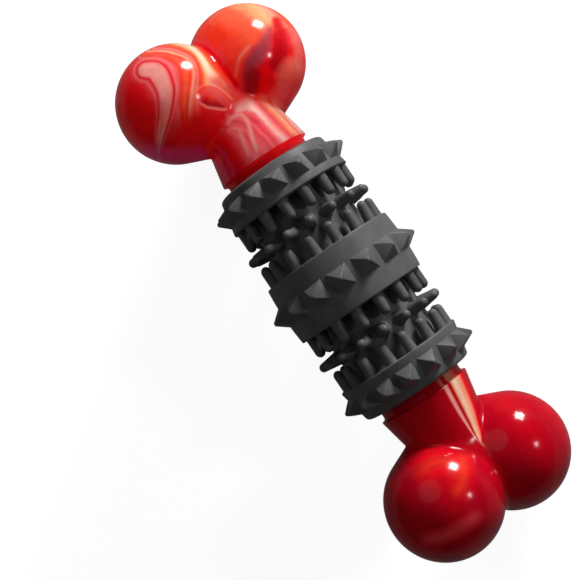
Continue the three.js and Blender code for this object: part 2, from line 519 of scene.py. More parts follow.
@dataclass(frozen=True)
class StreakLayer(MeltLayer):
    """Streams drawn out along the neck. Its bands are angles in degrees from the start.

    Between the two stations they gather round an angle, and those up to the swing angles turn away.
    The land is what is left of them beyond the rim, and the fade holds how far off the neck's cone
    they start to die out and are gone.
    """

    start: float
    gather: float = 0.0
    gather_angle: float = 108.0
    swing: float = 0.0
    swing_angles: Point = (80.0, 120.0)
    land: float = 0.0
    rim_width: float = 0.2
    stations: Point = (45.0, 66.0)
    tail: float = 4.0
    neck_radius: float = 15.8
    neck_slope: float = math.tan(math.radians(11.5))
    fade: Point = (0.4, 2.4)

    def measure(self, points: np.ndarray, plan: np.ndarray) -> tuple[np.ndarray, np.ndarray]:
        """Measure the angles of points round the axis.

        Args:
            points: Points in the bone end's own frame, in millimetres.
            plan: Their stations along the bone and their offsets across it, seen flat; not used here.

        Returns:
            The angles, and how much of the streams is left there.
        """
        angle = np.degrees(np.arctan2(points[:, 2], points[:, 1])) - self.start
        angle = np.abs((angle + 180.0) % 360.0 - 180.0)
        low, high = self.stations
        past = points[:, 0] - low
        rise = np.clip(past / (high - low), 0.0, 1.0)
        angle = self.gather_angle + (angle - self.gather_angle) / (1.0 - self.gather * rise**3)
        angle = np.maximum(angle, 0.0)
        full, still = self.swing_angles
        angle += self.swing * rise**4 * (1.0 - smooth_step((angle - full) / (still - full)))
        out = np.hypot(points[:, 1], points[:, 2]) - self.neck_radius + past * self.neck_slope
        whole, gone = self.fade
        left_over = self.land + (1.0 - self.land) * smooth_step(past / self.rim_width)
        left_over *= 1.0 - smooth_step((points[:, 0] - high) / self.tail)
        return angle, left_over * (1.0 - smooth_step((out - whole) / (gone - whole)))


@dataclass(frozen=True)
class NylonFinish:
    """Polished nylon, coloured by streams of melt that lie over each other, a few of which are painted shade
    and a painted sheen.

    The tilt turns the streams' plan about the bone, away from the plane of the lobes, in degrees.
    """

    name: str
    slot: str
    layers: tuple[MeltLayer, ...]
    tilt: float
    wander: float
    tones: Point
    roughness: Point = (0.12, 0.17)
    specular: float = 0.2
    glow: float = 1.0
    glow_depth: float = 45.0 * MM
    glow_spread: Colour = (1.0, 0.25, 0.2)

    def mark(self, mesh: bpy.types.Mesh, points: np.ndarray) -> None:
        """Store on each vertex where it lies across every stream.

        Args:
            mesh: The bone end's mesh.
            points: Its vertices in the end's own frame, in millimetres.
        """
        tilt = math.radians(self.tilt)
        across = points[:, 1] * math.cos(tilt) + points[:, 2] * math.sin(tilt)
        plan = np.stack([points[:, 0], across], axis=-1)
        for layer in self.layers:
            places, left_over = layer.measure(points, plan)
            stored = np.stack([places / layer.reach, left_over, np.zeros(len(points))], axis=-1)
            attribute = mesh.attributes.new(layer.name, "FLOAT_VECTOR", "POINT")
            attribute.data.foreach_set("vector", stored.ravel())

    def material(self) -> bpy.types.Material:
        """Build the finish.

        Returns:
            Its material.
        """
        made, sheet, shader = new_material(self.name)
        inputs = {"Wander": self.wander, "Darker": self.tones[0], "Lighter": self.tones[1]}
        flow = sheet.add("ShaderNodeGroup", inputs, node_tree=shared_group("Melt flow")).outputs
        colour = None
        for layer in self.layers:
            stored = sheet.add("ShaderNodeAttribute", attribute_name=layer.name).outputs["Vector"]
            parts = sheet.add("ShaderNodeSeparateXYZ", {0: stored}).outputs
            shift = sheet.math("MULTIPLY", flow["Shift"], layer.sway / layer.reach)
            found = sheet.ramp(sheet.math("ADD", parts["X"], shift), layer.stops).outputs
            cover = sheet.math("MULTIPLY", found["Alpha"], parts["Y"])
            colour = found["Color"] if colour is None else sheet.blend(cover, colour, found["Color"])
        toned = sheet.add("ShaderNodeVectorMath", {0: colour, "Scale": flow["Tone"]}, operation="SCALE")
        inputs = {"Smooth": self.roughness[0], "Dull": self.roughness[1]}
        finish = sheet.add("ShaderNodeGroup", inputs, node_tree=shared_group("Moulded skin")).outputs
        looks = {
            "Base Color": toned.outputs[0],
            "Roughness": finish["Roughness"],
            "Specular IOR Level": self.specular,
            "Subsurface Weight": self.glow,
            "Subsurface Radius": self.glow_spread,
            "Subsurface Scale": self.glow_depth,
        }
        sheet.feed(shader, looks)
        return made


@dataclass(frozen=True)
class RubberFinish:
    """Matte black rubber with a fine grain and slightly paler patches."""

    name: str
    slot: str
    colours: tuple[Colour, Colour] = ((0.083, 0.083, 0.084), (0.107, 0.107, 0.108))
    roughness: Point = (0.42, 0.56)
    specular: float = 0.25
    patches: float = 160.0
    grain: float = 2200.0
    grain_depth: float = 0.05 * MM
    grain_strength: float = 0.4

    def material(self) -> bpy.types.Material:
        """Build the finish.

        Returns:
            Its material.
        """
        made, sheet, shader = new_material(self.name)
        smooth, dull = self.roughness
        inputs = {"Grain": self.grain, "Patches": self.patches, "Smooth": smooth, "Dull": dull}
        finish = sheet.add("ShaderNodeGroup", inputs, node_tree=shared_group("Moulded skin")).outputs
        dark, pale = ((*colour, 1.0) for colour in self.colours)
        inputs = {"Height": finish["Height"], "Strength": self.grain_strength, "Distance": self.grain_depth}
        looks = {
            "Base Color": sheet.blend(finish["Patch"], dark, pale),
            "Roughness": finish["Roughness"],
            "Normal": sheet.add("ShaderNodeBump", inputs).outputs[0],
            "Specular IOR Level": self.specular,
        }
        sheet.feed(shader, looks)
        return made


# Bone ends


@dataclass
class BoneEnd:
    """One nylon end of the bone: two lobes, a neck, a collar and half of the shank.

    The sizes are those of an end that points along +X, with its lobes side by side along Y.
    """

    kind: EndKind
    finish: NylonFinish
    half_length: float = 94.5 * MM
    lobe_radius: float = 19.1 * MM
    lobe_spread: float = 28.4 * MM
    valley_reach: float = 3.0 * MM
    shoulder_reach: float = 1.8 * MM
    crease_reach: float = 1.5 * MM
    throat_reach: float = 2.2 * MM
    throat_width: float = 5.0 * MM
    collar_radius: float = 15.8 * MM
    collar_step: float = 1.4 * MM
    collar_station: float = 45.05 * MM
    rim_round: float = 0.15 * MM
    cove_radius: float = 1.2 * MM
    neck_taper: float = math.radians(11.5)
    land_station: float = 42.05 * MM
    land_round: float = 0.25 * MM
    journal_radius: float = 12.0 * MM
    butt_station: float = 0.15 * MM
    plug_radius: float = 7.0 * MM
    plug_flats: float = 11.4 * MM
    plug_length: float = 26.0 * MM
    plug_clearance: float = 0.2 * MM
    plug_end_gap: float = 0.6 * MM
    sharp_angle: float = math.radians(50.0)
    sides: int = 320
    lobe_rows: int = 96
    neck_rows: int = 136
    neck_rows_from: float = math.radians(116.0)
    halvings: int = 28

    @property
    def lobe_station(self) -> float:
        """Where the lobes' centres lie on the axis."""
        return self.half_length - self.lobe_radius

    @property
    def land_radius(self) -> float:
        """Radius of the bare land beside the sleeve."""
        return self.collar_radius - self.collar_step

    def lobe_distance(self, points: np.ndarray, side: int) -> np.ndarray:
        """Measure the distance to one lobe and its blunt shoulder.

        Args:
            points: Points in the end's own frame.
            side: 1 or -1, for the lobe's side along Y.

        Returns:
            Distances, below zero inside.
        """
        back = self.lobe_station - points[..., 0]
        out = np.hypot(points[..., 1] - side * self.lobe_spread / 2, points[..., 2])
        touch = math.acos(self.lobe_radius / (self.lobe_radius + self.shoulder_reach))
        ball = np.hypot(back, out)
        cone = back * math.cos(touch) + out * math.sin(touch)
        return np.where(np.arctan2(out, back) < touch, cone, ball) - self.lobe_radius

    def distance(self, points: np.ndarray) -> np.ndarray:
        """Measure the distance to the lobes and the neck, joined by rounded creases.

        Args:
            points: Points in the end's own frame.

        Returns:
            Distances, below zero inside.
        """
        lobes = smooth_min(self.lobe_distance(points, 1), self.lobe_distance(points, -1), self.valley_reach)
        along = points[..., 0] - self.collar_station
        radius = self.collar_radius - along * math.tan(self.neck_taper)
        cone = (np.hypot(points[..., 1], points[..., 2]) - radius) * math.cos(self.neck_taper)
        neck = np.maximum(cone, points[..., 0] - self.lobe_station)
        throat = self.throat_reach * np.exp(-((points[..., 1] / self.throat_width) ** 2))
        return smooth_min(lobes, neck, self.crease_reach + throat)

    def surface(self, rays: np.ndarray) -> np.ndarray:
        """Find where rays from the point between the lobes come out of the lobes or the neck.

        Args:
            rays: Directions of length 1.

        Returns:
            The points where they come out.
        """
        start = np.array([self.lobe_station, 0.0, 0.0])
        near = np.zeros(rays.shape[:-1])
        far = np.full(near.shape, self.half_length / 2)
        for _ in range(self.halvings):
            middle = (near + far) / 2
            inside = self.distance(start + rays * middle[..., None]) < 0.0
            near = np.where(inside, middle, near)
            far = np.where(inside, far, middle)
        return start + rays * far[..., None]

    def outer_rows(self, rim: Point) -> np.ndarray:
        """Make the lobes and the neck.

        Args:
            rim: Station and radius where the neck runs into the rim.

        Returns:
            Rows of points from the valley at the tip down to the rim, which isn't among them.
        """
        bend = self.neck_rows_from
        rim_angle = math.atan2(rim[1], rim[0] - self.lobe_station)
        steps = np.arange(1, self.lobe_rows + 1) / self.lobe_rows
        finer = np.arange(1, self.neck_rows) / self.neck_rows
        polar = np.concatenate([steps * bend, bend + finer * (rim_angle - bend)])[:, None]
        around = np.linspace(0.0, TAU, self.sides, endpoint=False)
        rays = np.empty((len(polar), self.sides, 3))
        rays[..., 0] = np.cos(polar)
        rays[..., 1] = np.sin(polar) * np.cos(around)
        rays[..., 2] = np.sin(polar) * np.sin(around)
        return self.surface(rays)

    def rim_profile(self) -> list[Point]:
        """Trace the rim, the cove under it, the land and the shank.

        Returns:
            Stations and radii, from the neck to the butt face.
        """
        taper = math.degrees(self.neck_taper)
        edge = self.rim_round
        fall = edge * (math.tan(self.neck_taper) + 1.0 / math.cos(self.neck_taper))
        rim_centre = (self.collar_station + edge, self.collar_radius - fall)
        cove_centre = (self.collar_station - self.cove_radius, self.land_radius + self.cove_radius)
        land_centre = (self.land_station + self.land_round, self.land_radius - self.land_round)
        return [
            *arc(rim_centre, edge, 90.0 - taper, 180.0, steps=4),
            *arc(cove_centre, self.cove_radius, 0.0, -90.0, steps=8),
            *arc(land_centre, self.land_round, 90.0, 180.0, steps=3),
            (self.land_station, self.journal_radius),
            (self.butt_station, self.journal_radius),
        ]

    def joint_rows(self) -> tuple[np.ndarray, float]:
        """Make the plug, or the socket that takes it, inside the sleeve.

        Returns:
            Rows of points from the butt face on, and the station of the last one.
        """
        radius, flats, end = self.plug_radius, self.plug_flats, -self.plug_length
        if self.kind is EndKind.SOCKET:
            radius += self.plug_clearance
            flats += 2 * self.plug_clearance
            end = self.plug_length + self.plug_end_gap
        rows = turned_rows([(self.butt_station, radius), (end, radius)], self.sides)
        rows[..., 1] = np.clip(rows[..., 1], -flats / 2, flats / 2)
        return rows, end

    def placement(self) -> Matrix:
        """Find where the end lies.

        Returns:
            The matrix that rolls it onto its lower lobe and puts it at its own end of the axis.
        """
        roll = math.asin((AXIS_HEIGHT - self.lobe_radius) / (self.lobe_spread / 2))
        place = Matrix.Translation((0.0, 0.0, AXIS_HEIGHT)) @ Matrix.Rotation(-roll, 4, "X")
        if self.kind is EndKind.PLUG:
            place = place @ Matrix.Rotation(math.pi, 4, "Z")
        return place

    def build(self) -> bpy.types.Object:
        """Build and dress the end.

        Returns:
            The finished piece.
        """
        profile = self.rim_profile()
        joint, end = self.joint_rows()
        rows = np.concatenate([self.outer_rows(profile[0]), turned_rows(profile, self.sides), joint])
        tip = self.surface(np.array([[1.0, 0.0, 0.0]]))[0]
        mesh = skin(self.finish.name, rows, (tip.tolist(), [end, 0.0, 0.0]))
        points = np.empty(len(mesh.vertices) * 3)
        mesh.vertices.foreach_get("co", points)
        self.finish.mark(mesh, points.reshape(-1, 3) / MM)
        mesh.transform(self.placement())
        mesh.set_sharp_from_angle(angle=self.sharp_angle)
        mesh.materials.append(self.finish.material())
        return place_piece(self.finish.name, mesh, "bone", self.kind.value)


# Chew sleeve


@dataclass(frozen=True)
class Ring:
    """A ring of copies of one shape: where a copy stands, how it leans and how far on it is turned."""

    shape: Shape
    station: float
    radius: float
    lean: float = 0.0
    phase: float = 0.0


@dataclass
class ChewSleeve:
    """The rubber sleeve: a bored body with three bands, their spikes, and rows of pegs between them.

    The sizes are those of a sleeve along X with one spike of each band straight up. The shoulder of a
    spike's tip lies down and in by shares of its rounding. Its corners span an arc in degrees, and take
    at most a share of a level's half width. The steps of a peg's root go up and out by shares of its
    flare, and its dome leaves out the first degrees from the tip.
    """

    finish: RubberFinish
    length: float = 83.5 * MM
    bore_radius: float = 12.25 * MM
    bore_round: float = 0.4 * MM
    core_radius: float = 15.95 * MM
    root_round: float = 0.7 * MM
    middle_width: float = 20.1 * MM
    middle_radius: float = 22.5 * MM
    middle_crown: float = 0.5 * MM
    crown_steps: int = 6
    band_round: float = 0.45 * MM
    end_width: float = 11.7 * MM
    end_inner_radius: float = 21.4 * MM
    end_outer_radius: float = 19.3 * MM
    end_round: float = 1.3 * MM
    count: int = 16
    spike_height: float = 3.85 * MM
    spike_tip: float = 0.9 * MM
    spike_round: float = 0.22 * MM
    spike_shoulder: Point = (0.3, 0.25)
    corner_arc: Point = (10.0, 80.0)
    corner_share: float = 0.8
    corner_steps: int = 4
    middle_spike: float = 6.6 * MM
    end_spike: float = 5.9 * MM
    standing_root: float = 4.6 * MM
    standing_tip: float = 3.0 * MM
    standing_height: float = 6.8 * MM
    lying_root: float = 4.0 * MM
    lying_tip: float = 3.2 * MM
    lying_length: float = 6.9 * MM
    middle_inset: float = 1.0 * MM
    end_inset: float = 0.6 * MM
    root_depth: float = 0.8 * MM
    peg_flare: float = 0.2 * MM
    flare_steps: tuple[Point, ...] = ((2.0, 0.0), (0.9, 0.16), (0.3, 0.53), (0.0, 1.0))
    dome_start: float = 12.0
    turn: float = math.radians(8.0)
    sharp_angle: float = math.radians(38.0)
    sides: int = 224
    peg_sides: int = 20

    @property
    def band_edge(self) -> float:
        """Station where an end band starts."""
        return self.length / 2 - self.end_width

    @property
    def end_slope(self) -> float:
        """Angle of an end band's tapered face."""
        return math.atan2(self.end_inner_radius - self.end_outer_radius, self.end_width)

    def half_profile(self) -> list[Point]:
        """Trace the outside of one half.

        Returns:
            Stations and radii, from the crown of the middle band to the bore.
        """
        middle, end = self.middle_width / 2, self.length / 2
        edge, root, bore, outer = self.band_round, self.root_round, self.bore_round, self.end_round
        slope = math.degrees(self.end_slope)
        crown = [
            (s * (middle - edge), self.middle_radius + self.middle_crown * (1.0 - s * s))
            for s in np.linspace(0.0, 1.0, self.crown_steps, endpoint=False)
        ]
        inner_edge = self.end_inner_radius - edge * (1.0 + math.tan(self.end_slope / 2))
        return [
            *crown,
            *arc((middle - edge, self.middle_radius - edge), edge, 90.0, 0.0, steps=4),
            *arc((middle + root, self.core_radius + root), root, 180.0, 270.0, steps=4),
            *arc((self.band_edge - root, self.core_radius + root), root, 270.0, 360.0, steps=4),
            *arc((self.band_edge + edge, inner_edge), edge, 180.0, 90.0 - slope, steps=4),
            *arc((end - outer, self.end_outer_radius - outer), outer, 90.0 - slope, 0.0, steps=6),
            *arc((end - bore, self.bore_radius + bore), bore, 0.0, -90.0, steps=3),
        ]

    def body(self) -> bpy.types.Mesh:
        """Make the bored body with its bands.

        Returns:
            The body's mesh.
        """
        half = self.half_profile()
        outside = half[::-1] + [(-station, radius) for station, radius in half[1:]]
        return skin("sleeve_body", turned_rows(outside, self.sides))

    def spike(self, base: float) -> bpy.types.Mesh:
        """Make a square spike with rounded edges and a blunt tip.

        Args:
            base: Width of the spike where it meets its band.

        Returns:
            The spike, standing along Z with its foot below zero.
        """
        slope = (base - self.spike_tip) / 2 / self.spike_height
        blunt = self.spike_round
        top = self.spike_tip / 2
        down, inwards = self.spike_shoulder
        levels = [
            (self.spike_height, top - blunt),
            (self.spike_height - blunt * down, top - blunt * inwards),
            (self.spike_height - blunt, top + slope * blunt),
            (0.0, base / 2),
            (-self.root_depth, base / 2 + slope * self.root_depth),
        ]
        quarters = np.arange(4)[:, None] * 90.0
        corner = np.radians(quarters + np.linspace(*self.corner_arc, self.corner_steps)).ravel()
        centre = np.radians(np.repeat(quarters + 45.0, self.corner_steps))
        rows = np.empty((len(levels), len(corner), 3))
        for row, (height, half) in zip(rows, levels):
            bend = min(blunt, half * self.corner_share)
            reach = math.sqrt(2.0) * (half - bend)
            row[:, 0] = reach * np.cos(centre) + bend * np.cos(corner)
            row[:, 1] = reach * np.sin(centre) + bend * np.sin(corner)
            row[:, 2] = height
        return skin("spike", rows, ([0.0, 0.0, self.spike_height], [0.0, 0.0, -self.root_depth]))

    def peg(self, name: str, root: float, tip: float, length: float) -> bpy.types.Mesh:
        """Make a round peg with a dome on top and a root that flares.

        Args:
            name: The mesh's name.
            root: Diameter at the foot.
            tip: Diameter under the dome.
            length: Length from the foot to the top.

        Returns:
            The peg, standing along Z with its foot below zero.
        """
        shaft = length - tip / 2
        slope = (root - tip) / 2 / shaft
        flare = self.peg_flare
        foot = root / 2
        profile = [
            *arc((shaft, 0.0), tip / 2, self.dome_start, 90.0, steps=6),
            *[(flare * up, foot + flare * (out - slope * up)) for up, out in self.flare_steps],
            (-self.root_depth, foot + flare),
        ]
        along_z = turned_rows(profile, self.peg_sides)[..., [1, 2, 0]]
        return skin(name, along_z, ([0.0, 0.0, length], [0.0, 0.0, -self.root_depth]))

    def rings(self) -> list[Ring]:
        """List the rings of spikes and pegs.

        Returns:
            One ring on the middle band, and four to each side of it.
        """
        pitch = TAU / self.count
        middle = self.middle_width / 2
        end_station = self.band_edge + self.end_width / 2
        end_radius = (self.end_inner_radius + self.end_outer_radius) / 2
        peg_station = (middle + self.band_edge) / 2
        taper = math.atan2((self.lying_root - self.lying_tip) / 2, self.lying_length - self.lying_tip / 2)
        level = math.pi / 2 - taper
        middle_pegs = self.middle_radius - self.middle_inset - self.lying_root / 2
        end_pegs = self.end_inner_radius - self.end_inset - self.lying_root / 2
        made = [Ring(Shape.MIDDLE_SPIKE, 0.0, self.middle_radius + self.middle_crown)]
        for side in (1.0, -1.0):
            made += [
                Ring(Shape.END_SPIKE, side * end_station, end_radius, side * self.end_slope),
                Ring(Shape.STANDING_PEG, side * peg_station, self.core_radius, phase=pitch / 4),
                Ring(Shape.LYING_PEG, side * middle, middle_pegs, side * level, -pitch / 4),
                Ring(Shape.LYING_PEG, side * self.band_edge, end_pegs, -side * level, -pitch / 4),
            ]
        return made

    def ring_group(self) -> bpy.types.NodeTree:
        """Build the tree that sets copies of one shape round the axis.

        Returns:
            The tree.
        """
        numbers = {"Count": self.count, "Station": 0.0, "Radius": 0.0, "Lean": 0.0, "Phase": 0.0}
        sheet = new_group(
            "Ring of copies",
            "GeometryNodeTree",
            {"Shape": "NodeSocketGeometry", **numbers},
            {"Copies": "NodeSocketGeometry"},
        )
        given = sheet.given
        spot = sheet.add("ShaderNodeCombineXYZ", {"X": given["Station"], "Z": given["Radius"]})
        lean = sheet.add("ShaderNodeCombineXYZ", {"Y": given["Lean"]})
        leaned = sheet.add("FunctionNodeEulerToRotation", {"Euler": lean.outputs[0]})
        inputs = {"Geometry": given["Shape"], "Translation": spot.outputs[0], "Rotation": leaned.outputs[0]}
        placed = sheet.add("GeometryNodeTransform", inputs)
        points = sheet.add("GeometryNodePoints", {"Count": given["Count"]})
        share = sheet.math("DIVIDE", sheet.add("GeometryNodeInputIndex").outputs[0], given["Count"])
        angle = sheet.math("ADD", sheet.math("MULTIPLY", share, TAU), given["Phase"])
        swing = sheet.add("ShaderNodeCombineXYZ", {"X": sheet.math("MULTIPLY", angle, -1.0)})
        turned = sheet.add("FunctionNodeEulerToRotation", {"Euler": swing.outputs[0]})
        inputs = {"Points": points.outputs[0], "Instance": placed.outputs[0], "Rotation": turned.outputs[0]}
        sheet.give(Copies=sheet.add("GeometryNodeInstanceOnPoints", inputs).outputs[0])
        return sheet.tree

    def sleeve_group(self) -> bpy.types.NodeTree:
        """Build the tree that sets every ring on the body and joins all into one moulding.

        Returns:
            The tree.
        """
        sheet = new_group(
            "Chew sleeve",
            "GeometryNodeTree",
            {
                "Body": "NodeSocketGeometry",
                "Count": self.count,
                **{shape.value: "NodeSocketObject" for shape in Shape},
                "Rubber": "NodeSocketMaterial",
            },
            {"Sleeve": "NodeSocketGeometry"},
        )
        given = sheet.given
        body = {1: given["Body"]}
        moulding = sheet.add("GeometryNodeMeshBoolean", body, operation="UNION", solver="MANIFOLD")
        ring_tree = self.ring_group()
        found = {}
        for shape in Shape:
            pattern = sheet.add("GeometryNodeObjectInfo", {"Object": given[shape.value]})
            found[shape] = pattern.outputs["Geometry"]
        for ring in self.rings():
            inputs = {
                "Shape": found[ring.shape],
                "Count": given["Count"],
                "Station": ring.station,
                "Radius": ring.radius,
                "Lean": ring.lean,
                "Phase": ring.phase,
            }
            copies = sheet.add("GeometryNodeGroup", inputs, node_tree=ring_tree)
            sheet.feed(moulding, {1: copies.outputs[0]})
        whole = sheet.add("GeometryNodeRealizeInstances", {"Geometry": moulding.outputs[0]})
        inputs = {"Geometry": whole.outputs[0], "Material": given["Rubber"]}
        sheet.give(Sleeve=sheet.add("GeometryNodeSetMaterial", inputs).outputs[0])
        return sheet.tree

    def build(self) -> bpy.types.Object:
        """Build and dress the sleeve.

        Returns:
            The finished piece.
        """
        standing = (self.standing_root, self.standing_tip, self.standing_height)
        lying = (self.lying_root, self.lying_tip, self.lying_length)
        shapes = {
            Shape.MIDDLE_SPIKE: self.spike(self.middle_spike),
            Shape.END_SPIKE: self.spike(self.end_spike),
            Shape.STANDING_PEG: self.peg("standing_peg", *standing),
            Shape.LYING_PEG: self.peg("lying_peg", *lying),
        }
        tree = self.sleeve_group()
        mould = put_in_scene("sleeve_mould", self.body())
        modifier = mould.modifiers.new("Chew sleeve", "NODES")
        modifier.node_group = tree
        sockets = {item.name: item.identifier for item in tree.interface.items_tree if item.in_out == "INPUT"}
        modifier[sockets["Count"]] = self.count
        modifier[sockets["Rubber"]] = self.finish.material()
        patterns = []
        for shape, mesh in shapes.items():
            pattern = bpy.data.objects.new(mesh.name, mesh)
            modifier[sockets[shape.value]] = pattern
            patterns.append(pattern)
        graph = bpy.context.evaluated_depsgraph_get()
        mesh = bpy.data.meshes.new_from_object(mould.evaluated_get(graph), depsgraph=graph)
        for spent in [mould, *patterns]:
            bpy.data.objects.remove(spent)
        mesh.name = "chew_sleeve_rubber"
        mesh.transform(Matrix.Translation((0.0, 0.0, AXIS_HEIGHT)) @ Matrix.Rotation(-self.turn, 4, "X"))
        mesh.shade_smooth()
        mesh.set_sharp_from_angle(angle=self.sharp_angle)
        return place_piece("spiked_chew_sleeve", mesh, "sleeve", "chew_sleeve")


# Studio


@dataclass(frozen=True)
class Lamp:
    """A soft lamp, with its direction along, across and towards the camera.

    A lamp that isn't mirrored lights the bone and doesn't show in its gloss.
    """

    name: str
    towards: tuple[float, float, float]
    distance: float
    size: Point
    watts: float
    shape: str = "RECTANGLE"
    mirrored: bool = True


@dataclass
class Studio:
    """The floor, the lamps and the camera.

    The camera's sizes are in pixels of the photograph: its frame and its lens, the bone's centre, the
    direction of its axis, and the eye and a last shift along and across this axis. The scale is pixels
    to a metre.
    """

    frame_pixels: int = 580
    scale: float = 3.137 / MM
    lens_pixels: float = 1350.0
    lean: float = math.radians(10.5)
    centre: Point = (343.1, 279.6)
    axis: Point = (0.5609, 0.8278)
    eye: Point = (25.7, -11.5)
    shift: Point = (-0.7, 1.5)
    sensor: float = 36.0
    clip: Point = (0.01, 20.0)
    world_strength: float = 0.02
    floor_colour: float = 0.4
    floor_roughness: float = 0.9
    floor_glow: float = 0.91
    floor_half: float = 12.0
    floor_shine: float = 0.03
    lamps: tuple[Lamp, ...] = (
        Lamp("top_strip", (-0.63, 0.745, 0.2), 1.5, (0.34, 0.54), 43.5),
        Lamp("side_lamp", (0.24, 0.70, 0.67), 1.0, (0.1, 0.1), 1.35),
        Lamp("front_panel", (-0.58, -0.2, 0.78), 1.0, (0.8, 0.8), 0.9, "ELLIPSE"),
        Lamp("far_fill", (0.15, -0.97, 0.2), 1.6, (1.8, 1.8), 2.4, mirrored=False),
    )

    def on_photo(self, along: float, across: float, towards: float) -> Vector:
        """Find a place or a direction from the photograph's upright axes.

        Args:
            along: Distance along the bone's axis.
            across: Distance across it, to the right of the upright bone.
            towards: Distance towards the camera.

        Returns:
            The vector in the frame.
        """
        across_axis = Vector((0.0, math.cos(self.lean), -math.sin(self.lean)))
        view_axis = Vector((0.0, math.sin(self.lean), math.cos(self.lean)))
        return Vector((along, 0.0, 0.0)) + across * across_axis + towards * view_axis

    def camera(self) -> None:
        """Set the camera where the photograph was taken from."""
        middle = Vector((0.0, 0.0, AXIS_HEIGHT))
        right, down = (self.frame_pixels / 2 - place for place in self.centre)
        along = right * self.axis[0] + down * self.axis[1] - self.shift[0]
        across = right * self.axis[1] - down * self.axis[0] - self.shift[1]
        aim = middle + self.on_photo(along, across, 0.0) / self.scale
        eye = middle + self.on_photo(*self.eye, self.lens_pixels) / self.scale
        upward = self.on_photo(-self.axis[1], self.axis[0], 0.0)
        back = (eye - aim).normalized()
        sideways = upward.cross(back).normalized()
        turn = Matrix((sideways, back.cross(sideways), back)).transposed().to_4x4()
        data = bpy.data.cameras.new("camera")
        data.sensor_width = self.sensor
        data.lens = self.lens_pixels / self.frame_pixels * self.sensor
        data.clip_start, data.clip_end = self.clip
        camera = put_in_scene("camera", data)
        camera.matrix_world = Matrix.Translation(eye) @ turn
        bpy.context.scene.camera = camera

    def hang(self, lamp: Lamp) -> None:
        """Hang one soft lamp.

        Args:
            lamp: The lamp, which looks at the bone.
        """
        data = bpy.data.lights.new(lamp.name, "AREA")
        data.shape = lamp.shape
        data.size, data.size_y = lamp.size
        data.energy = lamp.watts
        back = self.on_photo(*lamp.towards).normalized()
        spot = Vector((0.0, 0.0, AXIS_HEIGHT)) + back * lamp.distance
        hung = put_in_scene(lamp.name, data)
        hung.visible_glossy = lamp.mirrored
        hung.matrix_world = Matrix.Translation(spot) @ back.to_track_quat("Z", "Y").to_matrix().to_4x4()

    def floor(self) -> None:
        """Lay the pale floor, whose glow only the camera sees in full."""
        half = self.floor_half
        corners = [(-half, -half, 0.0), (half, -half, 0.0), (half, half, 0.0), (-half, half, 0.0)]
        mesh = bpy.data.meshes.new("floor")
        mesh.from_pydata(corners, [], [(0, 1, 2, 3)])
        made, sheet, shader = new_material("pale_floor")
        path = sheet.add("ShaderNodeLightPath").outputs
        seen = sheet.math("MAXIMUM", path["Is Glossy Ray"], path["Is Transmission Ray"])
        seen = sheet.math("MULTIPLY", seen, self.floor_shine)
        seen = sheet.math("MAXIMUM", seen, path["Is Camera Ray"])
        looks = {
            "Base Color": (*[self.floor_colour] * 3, 1.0),
            "Roughness": self.floor_roughness,
            "Emission Color": WHITE,
            "Emission Strength": sheet.math("MULTIPLY", seen, self.floor_glow),
        }
        sheet.feed(shader, looks)
        mesh.materials.append(made)
        put_in_scene("floor", mesh)

    def light(self) -> None:
        """Hang the lamps and set the world."""
        world = bpy.data.worlds.new("studio")
        world.use_nodes = True
        looks = {"Color": WHITE, "Strength": self.world_strength}
        NodeSheet(world.node_tree).feed(world.node_tree.nodes["Background"], looks)
        bpy.context.scene.world = world
        for lamp in self.lamps:
            self.hang(lamp)

    def build(self) -> None:
        """Set up the studio."""
        self.camera()
        self.floor()
        self.light()
        bpy.context.scene.view_settings.view_transform = "Standard"


# Colours of the melt, and its streams, with a few patches of painted shade and a painted sheen

CREAM: Colour = (0.92, 0.54, 0.40)
GOLD: Colour = (0.95, 0.38, 0.18)
SHELL: Colour = (0.94, 0.34, 0.30)
SALMON: Colour = (0.95, 0.28, 0.20)
PINK: Colour = (0.93, 0.19, 0.19)
BLUSH: Colour = (0.96, 0.12, 0.14)
ROSE: Colour = (0.82, 0.055, 0.07)
ORANGE: Colour = (0.97, 0.11, 0.05)
FLAME: Colour = (0.96, 0.045, 0.015)
RED: Colour = (0.95, 0.006, 0.013)
DEEP_RED: Colour = (0.75, 0.002, 0.010)
GARNET: Colour = (0.51, 0.002, 0.010)
CRIMSON: Colour = (0.42, 0.001, 0.012)
WINE: Colour = (0.96, 0.03, 0.13)
MAUVE: Colour = (0.90, 0.04, 0.30)
PLUM: Colour = (0.37, 0.06, 0.09)

